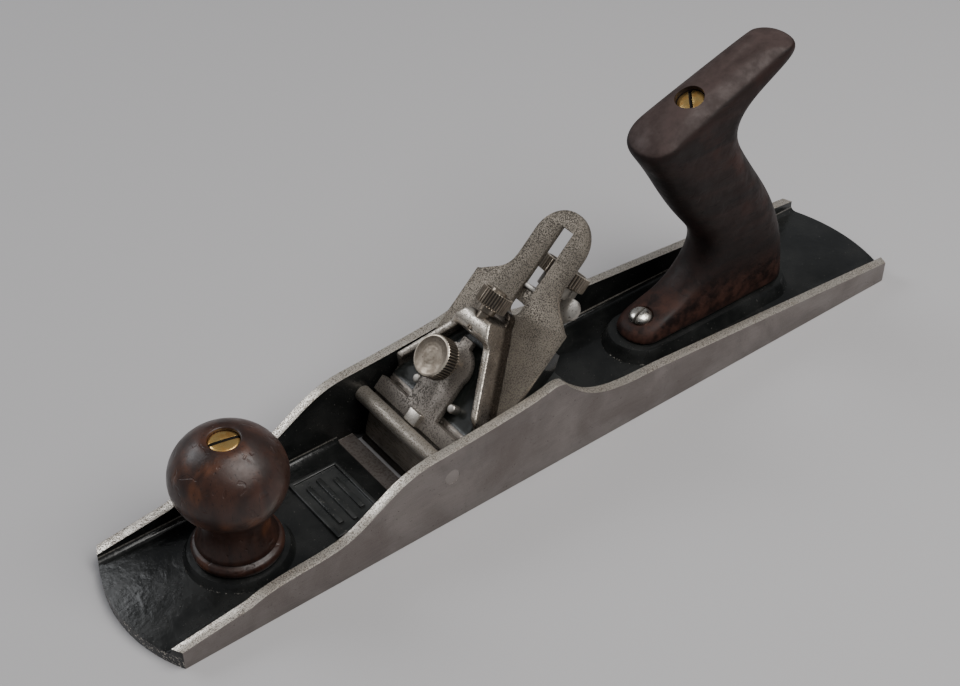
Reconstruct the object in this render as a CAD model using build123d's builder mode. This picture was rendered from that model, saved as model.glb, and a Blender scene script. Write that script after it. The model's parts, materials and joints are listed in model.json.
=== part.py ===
"""Metal jack plane, 14 inches long: cast bed, wooden knob and tote, cutter, cap and adjusters.

The sole lies on Z = 0, the toe points along -X, the heel along +X.
The cutter side of the plane is described on a slope plane tilted 45 degrees:
s runs up the slope, y across the plane, n stands square to the cutter's upper face.
"""
import os
from math import cos, radians, sin, sqrt

from build123d import *

os.makedirs("parts", exist_ok=True)

# ---------------------------------------------------------------- driving dimensions, mm
bed_length = 355.6
bed_width = 60.3
wall = 4.0
floor = 4.8
toe_radius = 61.4
heel_radius = 73.9
wall_peak = 38.5

bed_angle = 45.0
edge_x = -62.0  # where the cutter's upper face meets the sole plane

cutter_width = 50.8
cutter_thick = 2.0
cutter_top = 118.0
cutter_rise = 0.5  # the edge is set this far up the slope from the sole
tail_half = 13.0
slot_width = 6.3
slot_bottom = 74.0
slot_top = 111.0

pin_x = -59.4
pin_z = 21.9
pin_diameter = 6.35

knob_x = -130.6
knob_top = 59.2
boss_top = 8.0

tote_seat = 10.0
tote_half = 12.0
foot_half = 10.5
tote_nut_x = 74.1
tote_nut_z = 111.6
tote_rod_foot_x = 121.0

nut_radius = 5.4
nut_barrel = 4.2
rod_radius = 3.1
bore_gap = 0.2

panel_n = 7.5
land_n = 8.0
cap_half = 24.5
rim_n = 13.0
crown_n = 15.6
cap_screw_n = 12.7
cap_wheel_s = 72.6
cap_wheel_radius = 6.3

stem_half = 8.4
thumb_s = 47.6
stud_y = 10.6
thumb_radius = 8.1

gear_n = -13.0
gear_radius = 10.2
collar_s = 88.4

running = 0.05  # radial clearance of turning fits
sliding = 0.3  # gap between pieces that move past each other

c45 = cos(radians(bed_angle))
s45 = sin(radians(bed_angle))
half_width = bed_width / 2
inner_half = half_width - wall
half_length = bed_length / 2
toe_corner = -half_length + toe_radius - sqrt(toe_radius**2 - half_width**2)
heel_corner = half_length - heel_radius + sqrt(heel_radius**2 - half_width**2)
pin_s = (pin_x - edge_x) * c45 + pin_z * s45
pin_n = pin_z * c45 - (pin_x - edge_x) * s45

# planes of the slope: seen square on, from the side, and cut across at a station
slope = Plane(origin=(edge_x, 0, 0), x_dir=(c45, 0, s45), z_dir=(-s45, 0, c45))
slope_side = Plane(origin=(edge_x, 0, 0), x_dir=(c45, 0, s45), z_dir=(0, -1, 0))
bed_side = Plane(origin=(0, 0, 0), x_dir=(1, 0, 0), z_dir=(0, -1, 0))


# axis of the tote's rod
rod_dx = tote_rod_foot_x - tote_nut_x
rod_dz = tote_nut_z - tote_seat
rod_length = sqrt(rod_dx**2 + rod_dz**2)
rod_up = (-rod_dx / rod_length, 0, rod_dz / rod_length)
rod_foot = Plane(origin=(tote_rod_foot_x, 0, tote_seat), x_dir=(0, 1, 0), z_dir=rod_up)


def station(s):
    """Plane across the slope at s: local x is y, local y is n."""
    return Plane(origin=slope.from_local_coords((s, 0, 0)), x_dir=(0, 1, 0), z_dir=(c45, 0, s45))


def save(name, piece):
    piece.part.label = name
    export_step(piece.part, f"parts/{name}.step")


# ---------------------------------------------------------------- bed casting
wall_line = [
    (-143, 11.6),
    (-112, 15.5),
    (-102, 17.6),
    (-94, 21.8),
    (-84, 27.8),
    (-74, 31.9),
    (-60, 33.4),
    (-38, 34.9),
    (-20, 36.9),
]
scallop_line = [(-5.7, 35.3), (-0.7, 30.6), (4.4, 26.8), (12, 23.4), (24, 21.1), (40, 20.3)]

with BuildPart() as bed:
    with BuildSketch(Plane.XY):
        with BuildLine():
            Line((toe_corner, -half_width), (heel_corner, -half_width))
            ThreePointArc((heel_corner, -half_width), (half_length, 0), (heel_corner, half_width))
            Line((heel_corner, half_width), (toe_corner, half_width))
            ThreePointArc((toe_corner, half_width), (-half_length, 0), (toe_corner, -half_width))
        make_face()
    extrude(amount=wall_peak + 2)
    # side elevation: low at both ends, high beside the cutter
    with BuildSketch(bed_side):
        with BuildLine():
            Polyline((-half_length - 5, 6.6), (-half_length - 5, 0), (half_length + 5, 0), (half_length + 5, 8.6))
            Line((half_length + 5, 8.6), (95, 15.9))
            Line((95, 15.9), (40, 20.3))
            Spline(*reversed(scallop_line))
            Spline((-5.7, 35.3), (-8.2, 37.9), (-11.5, 38.5), (-20, 36.9), tangents=[(-0.62, 0.78), (-1, -0.19)])
            Spline(*reversed(wall_line))
            Line((-143, 11.6), (-half_length - 5, 6.6))
        make_face()
    extrude(amount=half_width + 1, both=True, mode=Mode.INTERSECT)
    # trough between the walls, with a fillet where they meet the floor
    with BuildSketch(Plane.YZ.offset(-half_length - 5)):
        with Locations((0, floor + 30)):
            Rectangle(2 * inner_half, 60)
        fillet(vertices().group_by(Axis.Y)[0], 2.6)
    extrude(amount=bed_length + 10, mode=Mode.SUBTRACT)
    # boss under the knob
    with BuildSketch(Plane.XY.offset(floor - 1)):
        with Locations((knob_x, 0)):
            Circle(20.4)
    extrude(amount=boss_top + 1 - floor, taper=28)
    # boss under the tote, drafted all round
    with BuildSketch(Plane.XY.offset(floor - 1)):
        with Locations((89.5, 0)):
            SlotOverall(95.5, 32)
    extrude(amount=tote_seat + 1 - floor, taper=27)
    # ground strip in front of the mouth
    with BuildSketch(Plane.XY.offset(floor - 0.5)):
        with Locations((-68.4, 0)):
            Rectangle(7.2, 2 * inner_half)
    extrude(amount=3, mode=Mode.SUBTRACT)
    # frog seat behind the mouth
    with BuildSketch(bed_side):
        Polygon((-57.5, 1), (-51.4, 7.4), (13, 7.4), (15.4, floor - 1), (-52, 1), align=None)
    extrude(amount=20, both=True)
    # mouth: square in front, sloped behind to bed the cutter
    with BuildSketch(bed_side):
        Polygon((-65, -1), (-65, 9), (-49.9, 9), (-59.9, -1), align=None)
    extrude(amount=inner_half, both=True, mode=Mode.SUBTRACT)
    # holes: cross pin, knob stud, tote rod, toe screw, frog screws
    with BuildSketch(bed_side):
        with Locations((pin_x, pin_z)):
            Circle(pin_diameter / 2)
    extrude(amount=half_width + 1, both=True, mode=Mode.SUBTRACT)
    with BuildSketch(Plane.XY.offset(1.2)):
        with Locations((knob_x, 0)):
            Circle(rod_radius)
        with Locations((57.6, 0)):
            Circle(2.3)
        with Locations((6, -10), (6, 10)):
            Circle(2.4)
    extrude(amount=20, mode=Mode.SUBTRACT)
    with BuildSketch(rod_foot.offset(-5)):
        Circle(rod_radius)
    extrude(amount=12, mode=Mode.SUBTRACT)
save("bed", bed)

with BuildPart() as cross_pin:
    with BuildSketch(bed_side):
        with Locations((pin_x, pin_z)):
            Circle(pin_diameter / 2)
    extrude(amount=half_width - 0.05, both=True)
save("cross_pin", cross_pin)

# ---------------------------------------------------------------- knob and its fixings
knob_plane = Plane(origin=(knob_x, 0, 0), x_dir=(1, 0, 0), z_dir=(0, -1, 0))
with BuildPart() as front_knob:
    with BuildSketch(knob_plane):
        with BuildLine():
            Polyline((0, boss_top), (15.4, boss_top), (15.4, 8.6))
            ThreePointArc((15.4, 8.6), (16.4, 10.4), (15.2, 12.2))
            Line((15.2, 12.2), (14.4, 12.6))
            Line((14.4, 12.6), (14.9, 13.2))
            neck = Spline(
                (14.9, 13.2), (13.0, 17.5), (12.3, 22.5), (13.6, 27.4), (17.9, 33.4),
                tangents=[(-0.5, 1), (0.62, 1)],
            )
            Spline(
                neck @ 1, (20.6, 42.2), (18.4, 50.9), (13.4, 56.3), (7.0, knob_top),
                tangents=[(0.62, 1), (-1, 0.2)],
            )
            Polyline((7.0, knob_top), (0, knob_top), (0, boss_top))
        make_face()
    revolve(axis=Axis(origin=(knob_x, 0, 0), direction=(0, 0, 1)))
    with BuildSketch(Plane.XY.offset(boss_top)):
        with Locations((knob_x, 0)):
            Circle(nut_barrel + bore_gap)
    extrude(amount=60, mode=Mode.SUBTRACT)
    with BuildSketch(Plane.XY.offset(knob_top - 4)):
        with Locations((knob_x, 0)):
            Circle(nut_radius + bore_gap)
    extrude(amount=10, mode=Mode.SUBTRACT)
save("front_knob", front_knob)

with BuildPart() as knob_stud:
    with BuildSketch(Plane.XY.offset(1.3)):
        with Locations((knob_x, 0)):
            Circle(rod_radius)
    extrude(amount=knob_top - 7)
save("knob_stud", knob_stud)

with BuildPart() as knob_nut:
    with BuildSketch(Plane.XY.offset(knob_top - 4)):
        with Locations((knob_x, 0)):
            Circle(nut_radius)
    extrude(amount=3.2)
    with BuildSketch(Plane.XY.offset(knob_top - 24)):
        with Locations((knob_x, 0)):
            Circle(nut_barrel)
    extrude(amount=20)
    with BuildSketch(Plane.XY.offset(knob_top - 25)):
        with Locations((knob_x, 0)):
            Circle(rod_radius)
    extrude(amount=19.4, mode=Mode.SUBTRACT)
    # driver slot across the head
    with BuildSketch(Plane.XY.offset(knob_top - 2.1)):
        with Locations(Location((knob_x, 0), -12)):
            Rectangle(20, 1.3)
    extrude(amount=3, mode=Mode.SUBTRACT)
save("knob_nut", knob_nut)

# ---------------------------------------------------------------- tote and its fixings
with BuildPart() as tote:
    with BuildSketch(bed_side):
        with BuildLine():
            Line((133, tote_seat), (49.2, tote_seat))
            Spline((49.2, tote_seat), (50.2, 14.2), (56, 17.2), (66, 19.6), tangents=[(0, 1), (1, 0.3)])
            Spline((66, 19.6), (77, 27.4), (84.6, 36), (85.2, 44), tangents=[(1, 0.3), (-0.25, 1)])
            Spline((85.2, 44), (72.5, 60.5), (57.5, 84), (49, 97.5), tangents=[(-0.25, 1), (-0.4, 1)])
            Spline((49, 97.5), (50, 103.6), (57.5, 108.2), tangents=[(-0.4, 1), (1, 0.45)])
            Spline((57.5, 108.2), (76, 115.4), (98, 123.4), (114, 126.4), tangents=[(1, 0.4), (1, 0.02)])
            Spline((114, 126.4), (122.2, 123.2), (122.6, 118.4), tangents=[(1, 0.02), (-0.6, -1)])
            Spline((122.6, 118.4), (108.5, 113.6), (97.8, 105), (94.6, 94), tangents=[(-1, -0.3), (0.05, -1)])
            Spline((94.6, 94), (103, 79.5), (119.5, 56), (130.4, 28), (133, tote_seat))
        make_face()
    extrude(amount=tote_half, both=True)
    # the foot is narrower than the grip
    with BuildSketch(Plane.XY.offset(tote_seat - 1)):
        with Locations((70, foot_half + 5), (70, -foot_half - 5)):
            Rectangle(44, 10)
    extrude(amount=14, mode=Mode.SUBTRACT)
    with BuildSketch(rod_foot.offset(-6)):
        Circle(rod_radius + bore_gap)
    extrude(amount=rod_length + 40, mode=Mode.SUBTRACT)
    with BuildSketch(rod_foot.offset(rod_length - 22)):
        Circle(nut_barrel + bore_gap)
    extrude(amount=60, mode=Mode.SUBTRACT)
    with BuildSketch(rod_foot.offset(rod_length - 3.2)):
        Circle(nut_radius + bore_gap)
    extrude(amount=30, mode=Mode.SUBTRACT)
    with BuildSketch(Plane.XY.offset(tote_seat - 1)):
        with Locations((57.6, 0)):
            Circle(2.5)
    extrude(amount=20, mode=Mode.SUBTRACT)
    with BuildSketch(Plane.XY.offset(17)):
        with Locations((57.6, 0)):
            Circle(5.1)
    extrude(amount=6, mode=Mode.SUBTRACT)
save("tote", tote)

with BuildPart() as tote_rod:
    with BuildSketch(rod_foot.offset(-5)):
        Circle(rod_radius)
    extrude(amount=rod_length - 3)
save("tote_rod", tote_rod)

with BuildPart() as tote_nut:
    with BuildSketch(rod_foot.offset(rod_length - 3.2)):
        Circle(nut_radius)
    extrude(amount=3.2)
    with BuildSketch(rod_foot.offset(rod_length - 22)):
        Circle(nut_barrel)
    extrude(amount=19)
    with BuildSketch(rod_foot.offset(rod_length - 23)):
        Circle(rod_radius)
    extrude(amount=17.5, mode=Mode.SUBTRACT)
    with BuildSketch(rod_foot.offset(rod_length - 1.3)):
        Rectangle(1.3, 20, rotation=76)
    extrude(amount=3, mode=Mode.SUBTRACT)
save("tote_nut", tote_nut)

screw_plane = Plane(origin=(57.6, 0, 0), x_dir=(1, 0, 0), z_dir=(0, -1, 0))
with BuildPart() as tote_screw:
    with BuildSketch(screw_plane):
        with BuildLine():
            Polyline((0, 1.5), (2.25, 1.5), (2.25, 17.0), (4.8, 17.0), (4.8, 17.5))
            ThreePointArc((4.8, 17.5), (2.9, 19.9), (0, 20.7))
            Line((0, 20.7), (0, 1.5))
        make_face()
    revolve(axis=Axis(origin=(57.6, 0, 0), direction=(0, 0, 1)))
    with BuildSketch(Plane.XY.offset(19.3)):
        with Locations(Location((57.6, 0), 52)):
            Rectangle(12, 1.1)
    extrude(amount=3, mode=Mode.SUBTRACT)
save("tote_screw", tote_screw)

# ---------------------------------------------------------------- frog and adjuster bracket
frog_face = -cutter_thick - 0.15
with BuildPart() as frog:
    # sloping face plate
    with BuildSketch(slope_side):
        Polygon((12.6, frog_face), (72, frog_face), (72, -9), (66, -12), (16, -12), align=None)
    extrude(amount=22.5, both=True)
    # foot plate on the seat
    with BuildSketch(bed_side):
        Polygon((-51.1, 7.4), (12.5, 7.4), (12.5, 12), (-44, 12), align=None)
    extrude(amount=19, both=True)
    # two side ribs, open between them from behind
    for side in (16, -16):
        with BuildSketch(bed_side.offset(side)):
            Polygon((-46, 8), (-6.5, 8), (-9, 20), (-9, 36), (-14, 41), (-30, 25), align=None)
        extrude(amount=3, both=True)
    # trimmed to the slope above and the seat below
    with BuildSketch(slope_side):
        Polygon((-20, frog_face), (140, frog_face), (140, 40), (-20, 40), align=None)
    extrude(amount=40, both=True, mode=Mode.SUBTRACT)
    with BuildSketch(Plane.XY.offset(7.4)):
        Rectangle(200, 80)
    extrude(amount=-20, mode=Mode.SUBTRACT)
    # pocket for the side lever and its fork
    with BuildSketch(slope.offset(-6.6)):
        with Locations((60.5, 0)):
            Rectangle(27, 14)
        with Locations((69, -4)):
            Rectangle(14, 26)
    extrude(amount=10, mode=Mode.SUBTRACT)
    # holes for the pivot, the bracket screws and the foot screws
    with BuildSketch(slope.offset(-11)):
        with Locations((60.5, 0)):
            Circle(1.6)
    extrude(amount=12, mode=Mode.SUBTRACT)
    with BuildSketch(Plane.XY.offset(6)):
        with Locations((6, -10), (6, 10)):
            Circle(2.4)
    extrude(amount=10, mode=Mode.SUBTRACT)
save("frog", frog)

with BuildPart() as frog_washers:
    with BuildSketch(Plane.XY.offset(12)):
        with Locations((6, -10), (6, 10)):
            Circle(4.6)
            Circle(2.5, mode=Mode.SUBTRACT)
    extrude(amount=1.2)
save("frog_washers", frog_washers)

with BuildPart() as frog_screws:
    with BuildSketch(Plane.XY.offset(13.2)):
        with Locations((6, -10), (6, 10)):
            Circle(4.0)
    extrude(amount=2.6)
    fillet(edges().group_by(Axis.Z)[-1], 1.1)
    with BuildSketch(Plane.XY.offset(1.4)):
        with Locations((6, -10), (6, 10)):
            Circle(2.3)
    extrude(amount=12)
    with BuildSketch(Plane.XY.offset(14.7)):
        with Locations(Location((6, -10), 20), Location((6, 10), 75)):
            Rectangle(12, 1.1)
    extrude(amount=3, mode=Mode.SUBTRACT)
save("frog_screws", frog_screws)

# bracket: a tongue under the frog's head that carries the collar of the depth gear
with BuildPart() as adjuster_bracket:
    with BuildSketch(slope_side):
        Polygon(
            (47, -12), (64, -12), (70, -18.8), (collar_s, -18.8), (collar_s, -9), (93.2, -9), (93.2, -21),
            (66, -21), (61.5, -16), (47, -16), align=None,
        )
    extrude(amount=5, both=True)
    with BuildSketch(station(collar_s)):
        with Locations((0, gear_n)):
            Circle(6.5)
    extrude(amount=4.8)
    with BuildSketch(station(collar_s - 1)):
        with Locations((0, gear_n)):
            Circle(4.6 + running)
    extrude(amount=10, mode=Mode.SUBTRACT)
save("adjuster_bracket", adjuster_bracket)

with BuildPart() as bracket_screws:
    with BuildSketch(slope.offset(-18.2)):
        with Locations((50.5, 0), (57.5, 0)):
            Circle(2.6)
    extrude(amount=2.2)
    fillet(edges().group_by(Axis((0, 0, 0), (-s45, 0, c45)))[0], 0.8)
save("bracket_screws", bracket_screws)

# ---------------------------------------------------------------- depth gear and its screw
with BuildPart() as depth_gear:
    with BuildSketch(station(93.7)):
        with Locations((0, gear_n)):
            Circle(gear_radius)
            with PolarLocations(gear_radius, 48):
                Rectangle(1.0, 0.6, mode=Mode.SUBTRACT)
    extrude(amount=6.0)
    with BuildSketch(station(86.9)):
        with Locations((0, gear_n)):
            Circle(4.6)
    extrude(amount=7)
    with BuildSketch(station(86.2)):
        with Locations((0, gear_n)):
            Circle(5.6)
    extrude(amount=1.9)
    with BuildSketch(station(80)):
        with Locations((0, gear_n)):
            Circle(2.9 + running)
    extrude(amount=30, mode=Mode.SUBTRACT)
save("depth_gear", depth_gear)

with BuildPart() as depth_screw:
    with BuildSketch(station(78.5)):
        with Locations((0, gear_n)):
            Circle(2.9)
    extrude(amount=27.5)
    chamfer(edges().sort_by(Axis.Z)[-1], 0.6)
save("depth_screw", depth_screw)

with BuildPart() as depth_finger:
    with BuildSketch(slope_side):
        Polygon((78.5, -17.2), (82.8, -17.2), (82.8, -8.6), (78.5, -8.6), align=None)
    extrude(amount=4.6, both=True)
    with BuildSketch(slope_side):
        Polygon(
            (79.2, -9), (82.8, -9), (82.8, -6.2), (86.7, -6.2), (86.7, -0.7), (85.2, -0.7), (85.2, -4.7),
            (79.2, -4.7), align=None,
        )
    extrude(amount=2.9, both=True)
    with BuildSketch(station(78)):
        with Locations((0, gear_n)):
            Circle(2.9)
    extrude(amount=10, mode=Mode.SUBTRACT)
save("depth_finger", depth_finger)

# ---------------------------------------------------------------- cutter
with BuildPart() as cutter:
    with BuildSketch(slope.offset(-cutter_thick)):
        with BuildLine():
            Polyline((80, cutter_width / 2), (cutter_rise, cutter_width / 2), (cutter_rise, -cutter_width / 2))
            Line((cutter_rise, -cutter_width / 2), (80, -cutter_width / 2))
            Spline((80, -cutter_width / 2), (82.2, -21.7), (85.5, -17.0), (94, -tail_half), tangents=[(0.3, 1), (1, 0)])
            Line((94, -tail_half), (cutter_top - tail_half, -tail_half))
            ThreePointArc(
                (cutter_top - tail_half, -tail_half), (cutter_top, 0), (cutter_top - tail_half, tail_half)
            )
            Line((cutter_top - tail_half, tail_half), (94, tail_half))
            Spline((94, tail_half), (85.5, 17.0), (82.2, 21.7), (80, cutter_width / 2), tangents=[(-1, 0), (-0.3, 1)])
        make_face()
    extrude(amount=cutter_thick)
    # slot: round at the bottom, square at the top
    with BuildSketch(slope.offset(-cutter_thick - 1)):
        with Locations(((slot_bottom + slot_top + slot_width / 2) / 2, 0)):
            Rectangle(slot_top - slot_bottom - slot_width / 2, slot_width)
        with Locations((slot_bottom + slot_width / 2, 0)):
            Circle(slot_width / 2)
    extrude(amount=cutter_thick + 2, mode=Mode.SUBTRACT)
    # cutting bevel on the underside
    with BuildSketch(slope_side):
        Polygon((cutter_rise - 1, -cutter_thick - 1), (cutter_rise, 0), (6.4, -cutter_thick - 1), align=None)
    extrude(amount=cutter_width, both=True, mode=Mode.SUBTRACT)
save("cutter", cutter)

with BuildPart() as stop_plate:
    with BuildSketch(slope.offset(-cutter_thick - 1.8)):
        with Locations((82.2, 0)):
            Rectangle(5.6, 15)
    extrude(amount=1.8)
save("stop_plate", stop_plate)

with BuildPart() as side_stud:
    with BuildSketch(slope.offset(-6.1)):
        with Locations((53, 0)):
            Circle(1.5)
    extrude(amount=6.1 - cutter_thick)
save("side_stud", side_stud)

# ---------------------------------------------------------------- side lever
with BuildPart() as side_lever:
    with BuildSketch(slope.offset(-6.3)):
        # arm, thumb end and the fork that straddles the cutter's stud
        with BuildLine():
            Polyline((59, 3.2), (59, -4.0), (66, -5.4), (85.5, -20.6), (90, -13.6), (67, 2.2), (61, 4.0), close=True)
        make_face()
        with Locations((87.8, -17.2)):
            Circle(4.2)
        with Locations((60.5, 0)):
            Circle(3.2)
        with Locations((54.6, 2.9), (54.6, -2.9)):
            Rectangle(9.2, 2.2)
    extrude(amount=1.7)
    with BuildSketch(slope.offset(-7)):
        with Locations((60.5, 0)):
            Circle(1.5 + running)
    extrude(amount=4, mode=Mode.SUBTRACT)
save("side_lever", side_lever)

with BuildPart() as side_pivot:
    with BuildSketch(slope.offset(-10.9)):
        with Locations((60.5, 0)):
            Circle(1.5)
    extrude(amount=6.6)
    with BuildSketch(slope.offset(-4.4)):
        with Locations((60.5, 0)):
            Circle(2.6)
    extrude(amount=1.0)
save("side_pivot", side_pivot)

# ---------------------------------------------------------------- cap
with BuildPart() as cap:
    # full outline, solid to the height of the rims
    with BuildSketch(slope.offset(0.1)):
        with BuildLine():
            Polyline(
                (2.8, -cap_half), (37, -cap_half), (66, -8.2), (70, -5.5), (74.5, -5.5),
                (74.5, 5.5), (70, 5.5), (66, 8.2), (37, cap_half), (2.8, cap_half), close=True,
            )
        make_face()
        fillet(vertices().group_by(Axis.X)[-1], 4)
    extrude(amount=crown_n)
    # long profile: curved toe, land, rims, crown and low tail
    with BuildSketch(slope_side):
        with BuildLine():
            Line((2, 0), (80, 0))
            Polyline((80, 0), (80, 5), (69.4, 5), (69, 13.6))
            Spline((69, 13.6), (66.5, crown_n), (63.2, 15.4), (60.6, rim_n), tangents=[(-0.2, 1), (-0.5, -1)])
            Polyline((60.6, rim_n), (37.5, rim_n), (34, 9.2), (33.2, land_n), (19, land_n))
            Spline((19, land_n), (11, 6.2), (5.4, 3.0), (2.6, 0.5), tangents=[(-1, 0), (-0.5, -1)])
            Line((2.6, 0.5), (2, 0))
        make_face()
    extrude(amount=30, both=True, mode=Mode.INTERSECT)
    # dished panel between the rims
    with BuildSketch(slope.offset(panel_n)):
        with BuildLine():
            Polyline(
                (29.6, -21.6), (36.2, -21.6), (61.4, -7.0), (61.4, 7.0), (36.2, 21.6), (29.6, 21.6), close=True,
            )
        make_face()
        fillet(vertices().group_by(Axis.X)[-1], 3)
    extrude(amount=4.9, mode=Mode.SUBTRACT)
    with BuildSketch(slope.offset(panel_n)):
        with BuildLine():
            Polyline(
                (29.6, -21.6), (36.2, -21.6), (60.6, -7.5), (60.6, 7.5), (36.2, 21.6), (29.6, 21.6), close=True,
            )
        make_face()
    extrude(amount=12, mode=Mode.SUBTRACT)
    # hollow underside
    with BuildSketch(slope):
        with BuildLine():
            Polyline((22, -20), (36, -20), (58, -6.5), (58, 6.5), (36, 20), (22, 20), close=True)
        make_face()
    extrude(amount=4.2, mode=Mode.SUBTRACT)
    # bore for the cap screw
    with BuildSketch(station(62)):
        with Locations((0, cap_screw_n)):
            Circle(2.4 + running)
    extrude(amount=20, mode=Mode.SUBTRACT)
save("cap", cap)

with BuildPart() as guide_studs:
    with BuildSketch(slope.offset(panel_n)):
        with Locations((34.85, stud_y), (34.85, -stud_y)):
            Circle(1.75)
    extrude(amount=4.1)
    chamfer(edges().group_by(Axis((0, 0, 0), (-s45, 0, c45)))[-1], 0.4)
save("guide_studs", guide_studs)

with BuildPart() as cap_screw:
    with BuildSketch(station(cap_wheel_s)):
        with Locations((0, cap_screw_n)):
            Circle(cap_wheel_radius)
            with PolarLocations(cap_wheel_radius, 34):
                Rectangle(0.8, 0.5, mode=Mode.SUBTRACT)
    extrude(amount=78.9 - cap_wheel_s)
    with BuildSketch(station(78.9)):
        with Locations((0, cap_screw_n)):
            Circle(3.2)
    extrude(amount=0.9)
    with BuildSketch(station(62.4)):
        with Locations((0, cap_screw_n)):
            Circle(2.4)
    extrude(amount=12)
save("cap_screw", cap_screw)

# ---------------------------------------------------------------- clamp lever and thumbscrew
with BuildPart() as clamp_lever:
    with BuildSketch(slope_side):
        Polygon((17.6, 8.5), (27.3, 8.5), (27.3, 12), (21.4, 12), (20.6, 10), (17.6, 10), align=None)
    extrude(amount=24.4, both=True)
    with BuildSketch(slope.offset(9.5)):
        with Locations((36.5, 0)):
            Rectangle(21, 2 * stem_half)
        with Locations((thumb_s - 0.6, 0)):
            Circle(stem_half + 0.5)
        with Locations((56.1, 0)):
            Rectangle(5, 5.2)
    extrude(amount=2.5)
    # lug that hooks behind the cross pin
    with BuildSketch(slope_side):
        Polygon((21, 10), (21, 13.2), (22, 14.1), (26, 12.2), (26, 10), align=None)
    extrude(amount=3.1, both=True)
    with BuildSketch(slope_side):
        with Locations((pin_s, pin_n)):
            Circle(pin_diameter / 2 + 0.3)
    extrude(amount=10, both=True, mode=Mode.SUBTRACT)
    with BuildSketch(slope.offset(8)):
        with Locations((thumb_s, 0)):
            Circle(2.85 + running)
    extrude(amount=6, mode=Mode.SUBTRACT)
    with BuildSketch(slope.offset(8)):
        with Locations((thumb_s, 0)):
            Circle(3.9)
    extrude(amount=2.8, mode=Mode.SUBTRACT)
save("clamp_lever", clamp_lever)

with BuildPart() as swivel_foot:
    with BuildSketch(slope.offset(panel_n + sliding)):
        with Locations((thumb_s, 0)):
            Circle(3.4)
    extrude(amount=1.4)
    with BuildSketch(slope.offset(panel_n + sliding)):
        with Locations((thumb_s, 0)):
            Circle(1.15)
    extrude(amount=3.4)
save("swivel_foot", swivel_foot)

with BuildPart() as thumbscrew:
    with BuildSketch(slope.offset(18.5)):
        with Locations((thumb_s, 0)):
            Circle(thumb_radius)
            with PolarLocations(thumb_radius, 46):
                Rectangle(0.9, 0.55, mode=Mode.SUBTRACT)
    extrude(amount=6.5)
    # dished outer face
    with BuildSketch(slope.offset(24.5)):
        with Locations((thumb_s, 0)):
            Circle(thumb_radius - 1.8)
    extrude(amount=2, mode=Mode.SUBTRACT)
    with BuildSketch(slope.offset(9.5)):
        with Locations((thumb_s, 0)):
            Circle(2.85)
    extrude(amount=9.5)
    with BuildSketch(slope.offset(9)):
        with Locations((thumb_s, 0)):
            Circle(1.15 + running)
    extrude(amount=3, mode=Mode.SUBTRACT)
save("thumbscrew", thumbscrew)
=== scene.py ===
import json
import math

import bpy
from mathutils import Matrix, Vector

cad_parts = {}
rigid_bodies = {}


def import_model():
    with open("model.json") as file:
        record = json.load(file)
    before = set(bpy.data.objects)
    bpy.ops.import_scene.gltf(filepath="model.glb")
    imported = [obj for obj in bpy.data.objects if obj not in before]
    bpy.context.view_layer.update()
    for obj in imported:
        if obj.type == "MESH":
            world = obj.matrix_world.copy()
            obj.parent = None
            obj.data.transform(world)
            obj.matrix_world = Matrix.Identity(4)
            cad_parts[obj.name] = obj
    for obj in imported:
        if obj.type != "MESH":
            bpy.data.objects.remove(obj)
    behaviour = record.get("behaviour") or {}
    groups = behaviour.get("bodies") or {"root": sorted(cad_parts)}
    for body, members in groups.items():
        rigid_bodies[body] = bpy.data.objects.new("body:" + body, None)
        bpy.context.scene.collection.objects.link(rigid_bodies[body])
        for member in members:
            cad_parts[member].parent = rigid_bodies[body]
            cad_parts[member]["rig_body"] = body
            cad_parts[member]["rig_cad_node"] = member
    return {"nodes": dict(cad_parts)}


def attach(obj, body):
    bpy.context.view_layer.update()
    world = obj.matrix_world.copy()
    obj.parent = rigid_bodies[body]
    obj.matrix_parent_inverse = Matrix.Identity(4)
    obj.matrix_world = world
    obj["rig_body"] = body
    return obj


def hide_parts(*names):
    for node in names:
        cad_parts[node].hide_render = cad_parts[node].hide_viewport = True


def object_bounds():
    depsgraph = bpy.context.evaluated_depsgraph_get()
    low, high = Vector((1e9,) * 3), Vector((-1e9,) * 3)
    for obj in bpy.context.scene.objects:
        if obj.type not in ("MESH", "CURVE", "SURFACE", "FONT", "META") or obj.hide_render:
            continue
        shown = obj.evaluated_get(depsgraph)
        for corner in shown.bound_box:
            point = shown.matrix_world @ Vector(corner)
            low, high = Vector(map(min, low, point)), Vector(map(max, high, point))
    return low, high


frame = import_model()
cadLow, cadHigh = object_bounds()
nodes = frame["nodes"]
print("frame loaded,", len(nodes), "nodes")

mm = 0.001
half = math.sqrt(0.5)
edgeX = -62 * mm  # where the cutter's upper face meets the sole plane
bedHalf = cadHigh.y
merge = 0.001 * mm  # points closer than this become one

# marks on the finishes: distances in from the bed's side, places along it and heights above the sole
bedMarks = {
    "wallTop": (4.35 * mm, 3.95 * mm), "groundSide": (0.35 * mm, 0.1 * mm), "pinEnd": (0.5 * mm, 0.3 * mm),
    "toe": (-120 * mm, -172 * mm), "toeHeight": (5.4 * mm, 4.2 * mm),
    "strip": (-72.4 * mm, -71.9 * mm, -64.9 * mm, -64.4 * mm), "stripHeight": (5.2 * mm, 4.6 * mm),
    # the mouth's painted shade fades in between these two heights
    "mouthShadeHeight": (3.4 * mm, 2.4 * mm),
}
# places up the slope and heights square to it; the line of the dish's edge narrows up the slope
capMarks = {
    "toe": (21 * mm, 18 * mm), "wornLitTop": (10.5 * mm, 12.6 * mm), "flank": (7.5 * mm, 4.5 * mm),
    "dish": (29.2 * mm, 30 * mm, 61 * mm, 63 * mm), "dishHeight": (10.2 * mm, 8.6 * mm),
    "dishEdge": (40.2 * mm, 39 * mm), "dishTaper": 0.5,
}


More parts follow.
